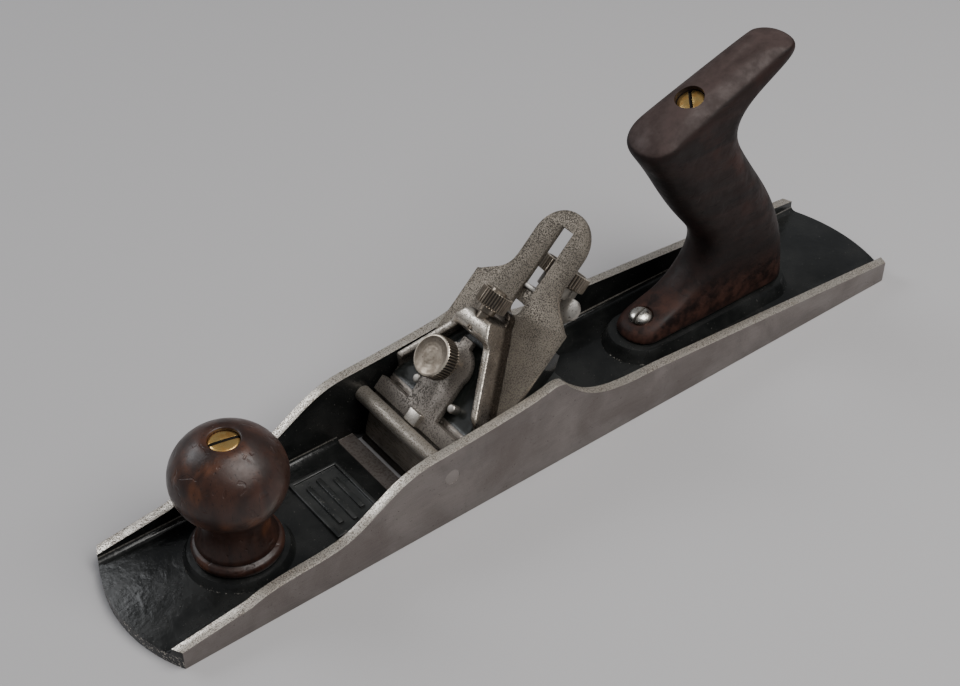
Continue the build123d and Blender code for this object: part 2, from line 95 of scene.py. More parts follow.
# ---- places on the sloping side of the plane: s up the slope, y across, n square to it
def slopePlace(s=0.0, y=0.0, n=0.0):
    turn = Matrix(((half, 0, -half), (0, 1, 0), (half, 0, half))).to_4x4()
    return Matrix.Translation((edgeX, 0, 0)) @ turn @ Matrix.Translation((s, y, n))


def alongSlope(n):
    # local z runs up the slope, local x points into the plane
    return slopePlace(0, 0, n) @ Matrix(((0, 0, 1, 0), (0, 1, 0, 0), (-1, 0, 0, 0), (0, 0, 0, 1)))


# ---- small helpers for working as by hand
def startFresh():
    if bpy.context.mode != "OBJECT":
        bpy.ops.object.mode_set(mode="OBJECT")
    bpy.ops.object.select_all(action="DESELECT")


def makeActive(piece):
    startFresh()
    piece.select_set(True)
    bpy.context.view_layer.objects.active = piece


def applyAll(piece):
    makeActive(piece)
    for modifier in list(piece.modifiers):
        bpy.ops.object.modifier_apply(modifier=modifier.name)


def drawLine(name, points, fill=False):
    # one vertex, drawn out point by point
    startFresh()
    bpy.ops.mesh.primitive_plane_add(size=mm, location=points[0])
    line = bpy.context.object
    line.name = name
    bpy.ops.object.mode_set(mode="EDIT")
    bpy.ops.mesh.select_mode(type="VERT")
    bpy.ops.mesh.merge(type="CENTER")
    for here, there in zip(points, points[1:]):
        step = Vector(there) - Vector(here)
        bpy.ops.mesh.extrude_region_move(TRANSFORM_OT_translate={"value": step})
    if fill:
        bpy.ops.mesh.select_all(action="SELECT")
        bpy.ops.mesh.edge_face_add()
    return line


def turned(name, profile, centre=(0, 0), steps=72):
    # a half section drawn as radius and height, then spun round its upright axis
    piece = drawLine(name, [(centre[0] + r, centre[1], z) for r, z in profile])
    bpy.ops.mesh.select_all(action="SELECT")
    bpy.ops.mesh.spin(steps=steps, angle=math.tau, center=(centre[0], centre[1], 0), axis=(0, 0, 1))
    bpy.ops.mesh.select_all(action="SELECT")
    bpy.ops.mesh.remove_doubles(threshold=merge)
    bpy.ops.mesh.normals_make_consistent(inside=False)
    bpy.ops.object.mode_set(mode="OBJECT")
    bpy.ops.object.transform_apply(location=True, rotation=True, scale=True)
    return piece


def stepFace(sign, steps, radius, centre):
    # from the selected end face: out or in by a height, then to a new radius
    for newRadius, rise in steps:
        bpy.ops.mesh.extrude_region_move(TRANSFORM_OT_translate={"value": (0, 0, sign * rise)})
        grow = newRadius / radius
        bpy.ops.transform.resize(value=(grow, grow, 1), center_override=centre)
        radius = newRadius


def selectFaces(piece, test):
    bpy.ops.mesh.select_mode(type="FACE")
    bpy.ops.mesh.select_all(action="DESELECT")
    bpy.ops.object.mode_set(mode="OBJECT")
    for face in piece.data.polygons:
        face.select = test(face)
    bpy.ops.object.mode_set(mode="EDIT")


def knurledWheel(name, wheel):
    # a wheel with straight teeth between two smooth bands, on a local upright axis
    low, high, radius = wheel["low"], wheel["high"], wheel["radius"]
    startFresh()
    bpy.ops.mesh.primitive_cylinder_add(
        vertices=4 * wheel["teeth"], radius=radius, depth=high - low, location=(0, 0, (low + high) / 2)
    )
    piece = bpy.context.object
    piece.name = name
    bpy.ops.object.transform_apply(location=True, rotation=True, scale=True)
    bpy.ops.object.mode_set(mode="EDIT")
    selectFaces(piece, lambda face: face.normal.z > 0.9)
    stepFace(1, wheel["front"], radius, (0, 0, high))
    selectFaces(piece, lambda face: face.normal.z < -0.9)
    stepFace(-1, wheel["back"], radius, (0, 0, low))
    # every second pair of rim points is drawn in to cut the teeth
    bpy.ops.mesh.select_mode(type="VERT")
    bpy.ops.mesh.select_all(action="DESELECT")
    bpy.ops.object.mode_set(mode="OBJECT")
    pitch = math.tau / (4 * wheel["teeth"])
    for point in piece.data.vertices:
        onRim = abs(math.hypot(point.co.x, point.co.y) - radius) < 0.01 * mm
        place = round((math.atan2(point.co.x, point.co.y) % math.tau) / pitch) % 4
        point.select = onRim and place in (2, 3)
    bpy.ops.object.mode_set(mode="EDIT")
    grow = 1 - wheel["toothDepth"] / radius
    bpy.ops.transform.resize(value=(grow, grow, 1), center_override=(0, 0, 0))
    bpy.ops.object.mode_set(mode="OBJECT")
    return piece


def cutWith(piece, cutter):
    # takes the cutter's shape out of the piece
    makeActive(piece)
    cut = piece.modifiers.new("cut", "BOOLEAN")
    cut.operation = "DIFFERENCE"
    cut.object = cutter
    bpy.ops.object.modifier_apply(modifier=cut.name)
    bpy.data.objects.remove(cutter)


def cutSlot(piece, slot):
    # a driver slot across a head whose axis is upright
    startFresh()
    bpy.ops.mesh.primitive_cube_add(size=1, location=slot["at"], rotation=(0, 0, math.radians(slot["angle"])))
    cutter = bpy.context.object
    cutter.scale = (slot["length"], slot["width"], 2 * slot["depth"])
    bpy.ops.object.transform_apply(location=True, rotation=True, scale=True)
    cutWith(piece, cutter)


def boreHole(piece, radius, low, high, centre=(0, 0), place=None):
    startFresh()
    bpy.ops.mesh.primitive_cylinder_add(
        vertices=64, radius=radius, depth=high - low, location=(centre[0], centre[1], (low + high) / 2)
    )
    cutter = bpy.context.object
    bpy.ops.object.transform_apply(location=True, rotation=True, scale=True)
    if place is not None:
        cutter.data.transform(place)
    cutWith(piece, cutter)


def easeEdges(piece, width, angle=35, segments=2):
    bevel = piece.modifiers.new("ease", "BEVEL")
    bevel.width = width
    bevel.segments = segments
    bevel.limit_method = "ANGLE"
    bevel.angle_limit = math.radians(angle)
    bevel.use_clamp_overlap = True
    applyAll(piece)


def copyOf(node, name):
    # a merged copy of a frame piece, ready to be worked on
    copy = nodes[node].copy()
    copy.data = nodes[node].data.copy()
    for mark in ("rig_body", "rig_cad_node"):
        del copy[mark]
    copy.parent = None
    copy.name = name
    bpy.context.scene.collection.objects.link(copy)
    makeActive(copy)
    if copy.data.has_custom_normals:
        bpy.ops.mesh.customdata_custom_splitnormals_clear()
    bpy.ops.object.mode_set(mode="EDIT")
    bpy.ops.mesh.select_all(action="SELECT")
    bpy.ops.mesh.remove_doubles(threshold=merge)
    bpy.ops.mesh.dissolve_limited(angle_limit=math.radians(0.3))
    bpy.ops.object.mode_set(mode="OBJECT")
    return copy


def softened(piece, voxel, passes):
    # worn and rounded all over, by a close even mesh and then smoothing
    remesh = piece.modifiers.new("remesh", "REMESH")
    remesh.mode = "VOXEL"
    remesh.voxel_size = voxel
    smooth = piece.modifiers.new("smooth", "SMOOTH")
    smooth.factor = 0.5
    smooth.iterations = passes
    applyAll(piece)


def finishPiece(piece, body, material, replaced=(), angle=35):
    makeActive(piece)
    bpy.ops.object.transform_apply(location=True, rotation=True, scale=True)
    bpy.ops.object.shade_smooth_by_angle(angle=math.radians(angle))
    piece.data.materials.clear()
    piece.data.materials.append(material)
    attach(piece, body)
    if replaced:
        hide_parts(*replaced)
    return piece


# ---- materials: nodes are added by name and joined by their sockets
class Surface:
    def __init__(self, name, colour, metallic, roughness):
        self.material = bpy.data.materials.new(name)
        self.material.use_nodes = True
        self.tree = self.material.node_tree
        self.shader = self.tree.nodes["Principled BSDF"]
        self.shader.inputs["Base Color"].default_value = (*colour, 1)
        self.shader.inputs["Metallic"].default_value = metallic
        self.shader.inputs["Roughness"].default_value = roughness
        self.coords = self.tree.nodes.new("ShaderNodeTexCoord")
        self.place = self.coords.outputs["Object"]
        self.normal = self.coords.outputs["Normal"]

    def put(self, socket, value):
        if isinstance(value, bpy.types.NodeSocket):
            self.tree.links.new(value, socket)
        elif isinstance(value, tuple) and len(value) == 3 and socket.type == "RGBA":
            socket.default_value = (*value, 1)
        else:
            socket.default_value = value

    def mapped(self, scale=(1, 1, 1), rotation=(0, 0, 0), location=(0, 0, 0), kind="POINT", vector=None):
        node = self.tree.nodes.new("ShaderNodeMapping")
        node.vector_type = kind
        self.put(node.inputs["Vector"], vector or self.place)
        self.put(node.inputs["Location"], location)
        self.put(node.inputs["Rotation"], rotation)
        self.put(node.inputs["Scale"], scale)
        return node.outputs["Vector"]

    def split(self, vector):
        node = self.tree.nodes.new("ShaderNodeSeparateXYZ")
        self.put(node.inputs[0], vector)
        return node.outputs

    def noise(self, size, detail=3.0, rough=0.55, vector=None, twist=0.0):
        # size is the width of a typical blotch, in metres
        node = self.tree.nodes.new("ShaderNodeTexNoise")
        self.put(node.inputs["Vector"], vector or self.place)
        self.put(node.inputs["Scale"], 1 / size)
        self.put(node.inputs["Detail"], detail)
        self.put(node.inputs["Roughness"], rough)
        self.put(node.inputs["Distortion"], twist)
        return node.outputs["Fac"]

    def ramp(self, value, low, high, start=0.0, end=1.0):
        node = self.tree.nodes.new("ShaderNodeMapRange")
        node.interpolation_type = "SMOOTHSTEP"
        for socket, number in zip(node.inputs[:5], (value, low, high, start, end)):
            self.put(socket, number)
        return node.outputs["Result"]

    def band(self, value, start, full, last, end):
        # 1 between full and last, fading to 0 at start and end
        return self.sum("MULTIPLY", self.ramp(value, start, full), self.ramp(value, end, last))

    def sum(self, kind, first, second=0.0, third=0.0):
        node = self.tree.nodes.new("ShaderNodeMath")
        node.operation = kind
        self.put(node.inputs[0], first)
        self.put(node.inputs[1], second)
        if kind == "MULTIPLY_ADD":
            self.put(node.inputs[2], third)
        return node.outputs[0]

    def blend(self, amount, first, second):
        node = self.tree.nodes.new("ShaderNodeMix")
        node.data_type = "RGBA"
        self.put(node.inputs[0], amount)
        self.put(node.inputs[6], first)
        self.put(node.inputs[7], second)
        return node.outputs[2]

    def mix(self, amount, first, second):
        node = self.tree.nodes.new("ShaderNodeMix")
        self.put(node.inputs[0], amount)
        self.put(node.inputs[2], first)
        self.put(node.inputs[3], second)
        return node.outputs[0]

    def relief(self, height, depth, strength=1.0, under=None):
        node = self.tree.nodes.new("ShaderNodeBump")
        self.put(node.inputs["Strength"], strength)
        self.put(node.inputs["Distance"], depth)
        self.put(node.inputs["Height"], height)
        if under is not None:
            self.put(node.inputs["Normal"], under)
        return node.outputs["Normal"]

    def give(self, **values):
        names = {
            "colour": "Base Color", "metallic": "Metallic", "roughness": "Roughness", "normal": "Normal",
            "coat": "Coat Weight", "coatRoughness": "Coat Roughness", "shine": "Specular IOR Level",
        }
        for name, value in values.items():
            self.put(self.shader.inputs[names[name]], value)
        return self.material


def pits(surface, size, amount):
    # small dark pits, gathered in patches; 1 in a pit and 0 between
    grain = surface.noise(size, 2.0, 0.6)
    fine = surface.noise(size * 0.45, 1.0, 0.5)
    patches = surface.noise(size * 14, 2.0, 0.5)
    level = surface.sum("MULTIPLY_ADD", fine, 0.35, surface.sum("MULTIPLY", grain, 0.65))
    level = surface.sum("MULTIPLY_ADD", patches, 0.12, level)
    return surface.ramp(level, 0.555 - amount, 0.62 - amount)


def makePittedSteel(name, light, dark, amount, size=0.45 * mm):
    surface = Surface(name, light, 0.85, 0.4)
    pit = pits(surface, size, amount)
    blotch = surface.ramp(surface.noise(9 * mm, 4.0), 0.35, 0.68)
    base = surface.blend(blotch, light, tuple(c * 0.8 for c in light))
    colour = surface.blend(surface.sum("MULTIPLY", pit, 0.85), base, dark)
    # the pin's ends were ground with the sides of the bed
    across = surface.sum("ABSOLUTE", surface.split(surface.place)[1])
    ends = surface.ramp(across, *(bedHalf - mark for mark in bedMarks["pinEnd"]))
    colour = surface.blend(ends, colour, (0.27, 0.24, 0.225))
    # down in the mouth the iron is painted dark and kept less metallic: a painted shade
    low = surface.ramp(surface.split(surface.place)[2], *bedMarks["mouthShadeHeight"])
    colour = surface.blend(low, colour, (0.035, 0.028, 0.022))
    scratches = surface.noise(0.5 * mm, 2.0, 0.5, surface.mapped(scale=(1, 0.08, 1)))
    return surface.give(
        colour=colour,
        metallic=surface.mix(surface.sum("MAXIMUM", pit, low), 0.7, 0.2),
        roughness=surface.mix(pit, surface.ramp(scratches, 0.3, 0.7, 0.34, 0.46), 0.75),
        normal=surface.relief(pit, -0.09 * mm, 1.0, surface.relief(scratches, 0.01 * mm, 0.6)),
    )


def makeGroundSteel(name, light, rough=0.34, streak=(0.06, 1, 1)):
    surface = Surface(name, light, 0.9, rough)
    lines = surface.noise(0.45 * mm, 3.0, 0.6, surface.mapped(scale=streak))
    blotch = surface.ramp(surface.noise(7 * mm, 4.0), 0.3, 0.7)
    specks = surface.ramp(surface.noise(0.8 * mm, 2.0), 0.66, 0.72)
    base = surface.blend(blotch, light, tuple(c * 0.7 for c in light))
    return surface.give(
        colour=surface.blend(specks, base, (0.07, 0.055, 0.045)),
        roughness=surface.ramp(lines, 0.25, 0.75, rough - 0.08, rough + 0.12),
        normal=surface.relief(lines, 0.012 * mm, 0.7),
    )


def makeBrass(name, top, tilt=0.0):
    # brushed brass, painted black in the slot and round the barrel: a painted shade
    surface = Surface(name, (0.86, 0.56, 0.2), 1.0, 0.3)
    local = surface.mapped(location=top, rotation=(0, tilt, 0), kind="TEXTURE")
    facing = surface.mapped(rotation=(0, tilt, 0), kind="TEXTURE", vector=surface.normal)
    # below the top and on faces turned sideways the brass is painted dark as shade
    deep = surface.ramp(surface.split(local)[2], -0.35 * mm, -0.7 * mm)
    paintedShade = surface.sum("MAXIMUM", deep, surface.ramp(surface.split(facing)[2], 0.5, 0.2))
    brushed = surface.noise(0.25 * mm, 2.0, 0.5, surface.mapped(scale=(0.2, 1, 1)))
    tarnish = surface.ramp(surface.noise(2.8 * mm, 4.0), 0.42, 0.7)
    metal = surface.blend(tarnish, (0.93, 0.62, 0.23), (0.55, 0.3, 0.09))
    return surface.give(
        colour=surface.blend(paintedShade, metal, (0.012, 0.008, 0.005)),
        metallic=surface.mix(paintedShade, 1.0, 0.0),
        roughness=surface.mix(paintedShade, surface.mix(tarnish, 0.26, 0.4), 0.8),
        normal=surface.relief(brushed, 0.02 * mm, 0.5),
    )


def makeWheelSteel(name, wheel):
    # brown-grey turned metal: rings on the face, near-black between the teeth
    surface = Surface(name, (0.45, 0.39, 0.32), 0.9, 0.3)
    local = surface.mapped(location=wheel["axis"], rotation=(0, wheel["tilt"], 0), kind="TEXTURE")
    local = surface.split(local)
    square = surface.sum("MULTIPLY_ADD", local[0], local[0], surface.sum("MULTIPLY", local[1], local[1]))
    radius = surface.sum("SQRT", square)
    rings = surface.sum("SINE", surface.sum("MULTIPLY", radius, math.tau / wheel["ringPitch"]))
    middle = (wheel["low"] + wheel["high"]) / 2
    fromMiddle = surface.sum("ABSOLUTE", surface.sum("SUBTRACT", local[2], middle))
    halfBand = (wheel["high"] - wheel["low"]) / 2
    depth = wheel["toothDepth"]
    groove = surface.ramp(radius, wheel["radius"] - 0.2 * depth, wheel["radius"] - 0.75 * depth)
    onTeeth = surface.ramp(fromMiddle, halfBand + 0.15 * mm, halfBand - 0.1 * mm)
    groove = surface.sum("MULTIPLY", groove, onTeeth)
    stain = surface.ramp(surface.noise(2.5 * mm, 4.0), 0.35, 0.68)
    specks = surface.ramp(surface.noise(0.6 * mm, 2.0), 0.62, 0.7)
    base = surface.blend(stain, (0.27, 0.23, 0.185), (0.18, 0.148, 0.115))
    base = surface.blend(surface.sum("MULTIPLY", specks, 0.7), base, (0.07, 0.052, 0.038))
    rubbed = surface.ramp(radius, wheel["radius"] - 0.95 * mm, wheel["radius"] - 0.7 * mm)
    onFace = surface.ramp(local[2], wheel["high"] + 0.05 * mm, wheel["high"] + 0.25 * mm)
    rubbed = surface.sum("MULTIPLY", rubbed, onFace)
    base = surface.blend(rubbed, base, (0.72, 0.64, 0.53))
    return surface.give(
        colour=surface.blend(groove, base, (0.016, 0.012, 0.009)),
        metallic=surface.mix(groove, 0.88, 0.1),
        roughness=surface.mix(groove, surface.mix(stain, 0.28, 0.4), 0.8),
        normal=surface.relief(rings, 0.02 * mm, 0.2),
    )


def makeNickel(name, slot):
    surface = Surface(name, (0.8, 0.78, 0.73), 1.0, 0.3)
    haze = surface.noise(1.2 * mm, 4.0)
    local = surface.mapped(location=slot["at"], rotation=(0, 0, math.radians(slot["angle"])), kind="TEXTURE")
    across = surface.sum("ABSOLUTE", surface.split(local)[1])
    # across the slot the nickel is painted dark: a painted shade
    paintedShade = surface.ramp(across, slot["width"] * 0.56, slot["width"] * 0.46)
    metal = surface.blend(surface.ramp(haze, 0.45, 0.65), (0.8, 0.77, 0.72), (0.4, 0.37, 0.32))
    return surface.give(
        colour=surface.blend(paintedShade, metal, (0.02, 0.016, 0.012)),
        metallic=surface.mix(paintedShade, 1.0, 0.1),
        roughness=surface.mix(paintedShade, surface.ramp(haze, 0.3, 0.7, 0.2, 0.42), 0.8),
        normal=surface.relief(haze, 0.03 * mm, 0.5),
    )


def makeWood(name, wood):
    # long pores and bands along the grain, darkened and polished by use
    surface = Surface(name, wood["dark"], 0.0, wood["roughness"])
    along = surface.mapped(scale=wood["grain"], rotation=wood["turn"])
    bands = surface.noise(9 * mm, 4.0, 0.6, along, 0.4)
    pores = surface.noise(0.8 * mm, 2.0, 0.6, along)
    glow = surface.ramp(surface.noise(17 * mm, 3.0, 0.5), wood["glowFrom"], wood["glowFrom"] + 0.2)
    grease = surface.noise(6 * mm, 4.0, 0.6)
    base = surface.blend(surface.ramp(bands, 0.35, 0.7), wood["dark"], wood["light"])
    base = surface.blend(surface.sum("MULTIPLY", glow, surface.ramp(bands, 0.3, 0.6)), base, wood["glow"])
    pore = surface.ramp(pores, 0.6, 0.7)
    base = surface.blend(surface.sum("MULTIPLY", pore, 0.6), base, tuple(c * 0.3 for c in wood["dark"]))
    if "faceFrom" in wood:
        # the worn top, finer in grain, painted paler where it faces up: partly wear, partly a painted
        # highlight
        up = surface.split(surface.normal)
        height = surface.split(surface.place)
        facing = surface.ramp(surface.sum("MULTIPLY_ADD", up[0], -0.35, up[2]), 0.62, 0.86)
        above = surface.ramp(height[2], wood["faceFrom"], wood["faceFrom"] + 4 * mm)
        top = surface.sum("MULTIPLY", facing, above)
        worn = surface.blend(surface.ramp(grease, 0.3, 0.7), wood["wornAndLitLight"], wood["wornAndLitDark"])
        base = surface.blend(top, base, worn)
        foot = surface.ramp(height[2], *wood["footHeight"])
        foot = surface.sum("MULTIPLY", foot, surface.ramp(grease, 0.35, 0.7))
        base = surface.blend(foot, base, wood["footGlow"])
    dents = surface.ramp(surface.noise(4.5 * mm, 1.0, 0.4, None, 0.8), 0.63, 0.72)
    lumps = surface.noise(3.2 * mm, 2.0, 0.5)
    normal = surface.relief(lumps, 0.25 * mm, 0.35)
    normal = surface.relief(dents, -0.35 * mm, wood["dents"], normal)
    normal = surface.relief(pore, -0.05 * mm, 0.5, normal)
    return surface.give(
        colour=base,
        roughness=surface.ramp(grease, 0.3, 0.72, wood["roughness"] - 0.08, wood["roughness"] + 0.12),
        normal=normal,
        coat=wood["coat"],
        coatRoughness=wood["coatRoughness"],
        shine=wood["shine"],
    )


def makeJapan(name):
    # baked black enamel with runs and small lumps
    surface = Surface(name, (0.011, 0.012, 0.012), 0.0, 0.3)
    runs = surface.noise(5 * mm, 3.0, 0.5, None, 0.6)
    lumps = surface.noise(1.3 * mm, 2.0, 0.5)
    dull = surface.ramp(surface.noise(14 * mm, 4.0), 0.35, 0.7)
    dust = surface.ramp(surface.noise(0.7 * mm, 2.0), 0.69, 0.74)
    enamel = surface.blend(dull, (0.010, 0.011, 0.011), (0.022, 0.023, 0.022))
    return surface.give(
        colour=surface.blend(dust, enamel, (0.16, 0.15, 0.13)),
        roughness=surface.mix(dull, 0.24, 0.4),
        normal=surface.relief(lumps, 0.1 * mm, 0.4, surface.relief(runs, 0.3 * mm, 0.4)),
    )


def makeBedSurface(name):
    # enamel inside, ground sides and sole, bare worn top edges
    surface = Surface(name, (0.02, 0.02, 0.02), 0.0, 0.3)
    place = surface.split(surface.place)
    facing = surface.split(surface.normal)
    across = surface.sum("ABSOLUTE", place[1])
    # enamel
    runs = surface.noise(6 * mm, 3.0, 0.5, None, 0.8)
    lumps = surface.noise(1.6 * mm, 2.0, 0.5)
    nearToe = surface.ramp(place[0], *bedMarks["toe"])
    dull = surface.ramp(surface.noise(16 * mm, 4.0), 0.35, 0.7)
    dust = surface.ramp(surface.noise(0.8 * mm, 2.0), 0.7, 0.75)
    enamel = surface.blend(dull, (0.006, 0.0065, 0.0065), (0.013, 0.0135, 0.013))
    enamel = surface.blend(surface.sum("MULTIPLY", dust, 0.6), enamel, (0.14, 0.13, 0.12))
    # ground iron on the sides and the sole
    lines = surface.noise(0.5 * mm, 3.0, 0.6, surface.mapped(scale=(0.05, 1, 1)))
    stains = surface.ramp(surface.noise(22 * mm, 5.0, 0.6, None, 0.6), 0.32, 0.7)
    ground = surface.blend(stains, (0.255, 0.228, 0.215), (0.175, 0.15, 0.14))
    ground = surface.blend(surface.ramp(surface.noise(1.1 * mm, 2.0), 0.68, 0.76), ground, (0.1, 0.08, 0.07))
    # worn top edges, with pits that keep some black
    pit = pits(surface, 0.45 * mm, 0.0)
    deep = surface.ramp(surface.noise(2.2 * mm, 3.0, 0.6), 0.6, 0.68)
    worn = surface.blend(pit, (0.74, 0.69, 0.62), (0.26, 0.22, 0.18))
    worn = surface.blend(surface.sum("MULTIPLY", deep, nearToe), worn, (0.05, 0.04, 0.035))
    # where each of them lies
    onWall = surface.ramp(across, *(bedHalf - mark for mark in bedMarks["wallTop"]))
    wornTop = surface.sum("MULTIPLY", onWall, surface.ramp(facing[2], 0.25, 0.5))
    outer = surface.ramp(across, *(bedHalf - mark for mark in bedMarks["groundSide"]))
    side = surface.sum("MULTIPLY", outer, surface.ramp(surface.sum("ABSOLUTE", facing[1]), 0.55, 0.8))
    sole = surface.ramp(facing[2], -0.5, -0.8)
    strip = surface.band(place[0], *bedMarks["strip"])
    low = surface.ramp(place[2], *bedMarks["stripHeight"])
    strip = surface.sum("MULTIPLY", surface.sum("MULTIPLY", strip, low), surface.ramp(facing[2], 0.2, 0.5))
    chipEdge = surface.ramp(surface.noise(1.1 * mm, 3.0, 0.6), 0.57, 0.63)
    toeRim = surface.ramp(place[2], *bedMarks["toeHeight"])
    toeRim = surface.sum("MULTIPLY", toeRim, surface.ramp(facing[0], -0.2, -0.6))
    chips = surface.sum("MULTIPLY", chipEdge, toeRim)
    bareGround = surface.sum("MAXIMUM", surface.sum("MAXIMUM", side, sole), strip)
    bare = surface.sum("MAXIMUM", surface.sum("MAXIMUM", bareGround, wornTop), chips)
    colour = surface.blend(bareGround, enamel, ground)
    stripPits = surface.sum("MULTIPLY", strip, surface.ramp(surface.noise(0.9 * mm, 2.0), 0.5, 0.6))
    colour = surface.blend(surface.sum("MULTIPLY", stripPits, 0.7), colour, (0.12, 0.1, 0.08))
    colour = surface.blend(surface.sum("MAXIMUM", wornTop, chips), colour, worn)
    shine = surface.mix(dull, 0.17, 0.3)
    bareRough = surface.mix(wornTop, surface.ramp(lines, 0.25, 0.75, 0.38, 0.52), surface.mix(pit, 0.33, 0.6))
    enamelNormal = surface.relief(lumps, 0.12 * mm, 0.45, surface.relief(runs, 0.35 * mm, 0.45))
    bareNormal = surface.relief(pit, -0.1 * mm, 0.8, surface.relief(lines, 0.012 * mm, 0.6))
    mixNormal = surface.tree.nodes.new("ShaderNodeMix")
    mixNormal.data_type = "VECTOR"
    surface.put(mixNormal.inputs[0], bare)
    surface.put(mixNormal.inputs[4], enamelNormal)
    surface.put(mixNormal.inputs[5], bareNormal)
    return surface.give(
        colour=colour,
        metallic=surface.sum("MULTIPLY", bare, 0.88),
        roughness=surface.mix(bare, shine, bareRough),
        normal=mixNormal.outputs[1],
        shine=0.4,
    )


def makeCapSurface(name):
    # dark enamel in the dish; worn rims and crown, painted bright where they face up as a painted highlight;
    # brown-grey flanks, painted dark low down as painted shade
    surface = Surface(name, (0.4, 0.38, 0.35), 0.9, 0.35)
    turn = (0, -math.pi / 4, 0)
    place = surface.split(surface.mapped(location=(edgeX, 0, 0), rotation=turn, kind="TEXTURE"))
    facing = surface.split(surface.mapped(rotation=turn, kind="TEXTURE", vector=surface.normal))
    scratch = surface.noise(0.8 * mm, 3.0, 0.6, surface.mapped(scale=(1, 0.15, 1)))
    pit = pits(surface, 0.5 * mm, -0.05)
    blotch = surface.ramp(surface.noise(6 * mm, 4.0), 0.3, 0.7)
    wornLitTop = surface.blend(blotch, (0.66, 0.61, 0.54), (0.46, 0.41, 0.35))
    flank = surface.blend(blotch, (0.24, 0.215, 0.19), (0.15, 0.13, 0.112))
    # rims and crown that face up and lie high get the bright colour: partly bare worn metal, partly a painted
    # highlight
    up = surface.ramp(facing[2], 0.25, 0.7)
    high = surface.ramp(place[2], *capMarks["wornLitTop"])
    # the flanks' lower part is painted nearly black: a painted shade
    flank = surface.blend(surface.ramp(place[2], *capMarks["flank"]), flank, (0.03, 0.024, 0.019))
    metal = surface.blend(surface.sum("MULTIPLY", up, high), flank, wornLitTop)
    toe = surface.ramp(place[0], *capMarks["toe"])
    dullToe = surface.blend(blotch, (0.26, 0.225, 0.185), (0.17, 0.145, 0.12))
    metal = surface.blend(toe, metal, dullToe)
    metal = surface.blend(surface.sum("MULTIPLY", pit, 0.8), metal, (0.09, 0.07, 0.055))
    inDish = surface.band(place[0], *capMarks["dish"])
    lowDown = surface.ramp(place[2], *capMarks["dishHeight"])
    edgeLine = surface.sum("MULTIPLY_ADD", place[0], capMarks["dishTaper"], surface.sum("ABSOLUTE", place[1]))
    inside = surface.ramp(edgeLine, *capMarks["dishEdge"])
    dish = surface.sum("MULTIPLY", surface.sum("MULTIPLY", inDish, lowDown), inside)
    return surface.give(
        colour=surface.blend(dish, metal, (0.012, 0.014, 0.012)),
        metallic=surface.mix(surface.sum("MAXIMUM", dish, toe), 0.85, surface.sum("MULTIPLY", toe, 0.35)),
        roughness=surface.mix(dish, surface.ramp(scratch, 0.3, 0.7, 0.22, 0.4), 0.27),
        normal=surface.relief(pit, -0.07 * mm, 0.7, surface.relief(scratch, 0.02 * mm, 0.6)),
    )


bedSurface = makeBedSurface("bedSurface")
japan = makeJapan("blackEnamel")
pinSteel = makePittedSteel("pittedSteel", (0.38, 0.345, 0.3), (0.08, 0.063, 0.048), -0.02, 0.55 * mm)
cutterSteel = makePittedSteel("pittedCutter", (0.225, 0.196, 0.16), (0.024, 0.018, 0.013), 0.012, 0.5 * mm)
leverSteel = makePittedSteel("pittedLever", (0.235, 0.208, 0.182), (0.026, 0.02, 0.015), -0.01, 0.55 * mm)
groundSteel = makeGroundSteel("groundSteel", (0.46, 0.43, 0.39))
brightSteel = makeGroundSteel("brightSteel", (0.66, 0.61, 0.54), 0.32, (1, 1, 1))
dullSteel = makeGroundSteel("dullSteel", (0.27, 0.25, 0.22), 0.45, (1, 1, 1))
capSurface = makeCapSurface("capSurface")
knobWood = makeWood("knobWood", {
    "dark": (0.018, 0.0085, 0.0065), "light": (0.046, 0.019, 0.0125), "glow": (0.12, 0.043, 0.018),
    "glowFrom": 0.54, "roughness": 0.4, "coat": 0.12, "coatRoughness": 0.3, "dents": 0.5,
    "grain": (1, 1, 0.12), "turn": (0.1, 0.15, 0), "shine": 0.4,
})
toteWood = makeWood("toteWood", {
    "dark": (0.0085, 0.0052, 0.0048), "light": (0.019, 0.0095, 0.008), "glow": (0.03, 0.012, 0.009),
    "glowFrom": 0.55, "roughness": 0.54, "coat": 0.0, "coatRoughness": 0.35, "dents": 0.15,
    "grain": (0.1, 1, 1), "turn": (0, 0.1, 0), "shine": 0.22,
    "faceFrom": 92 * mm, "wornAndLitLight": (0.058, 0.040, 0.037), "wornAndLitDark": (0.036, 0.024, 0.022),
    "footGlow": (0.05, 0.021, 0.015), "footHeight": (34 * mm, 16 * mm),
})
print("materials made")

# ---- bed casting: the frame's own shape with eased edges, and a plain cast relief on its front floor
bedDims = {"edge": 0.35 * mm}
bedCasting = copyOf("bed", "bedCasting")
easeEdges(bedCasting, bedDims["edge"], 40)
finishPiece(bedCasting, "bed", bedSurface, ["bed"], 40)

relief = {
    "middle": (-89.5 * mm, 0), "length": 21 * mm, "width": 33 * mm, "foot": 4.6 * mm, "rise": 1.3 * mm,
    "line": 1.5 * mm, "corner": 0.35 * mm, "barWidth": 2.1 * mm, "barEdge": 0.4 * mm,
    "bars": {-5.2 * mm: 22 * mm, 0.0: 25 * mm, 5.2 * mm: 18 * mm},
}


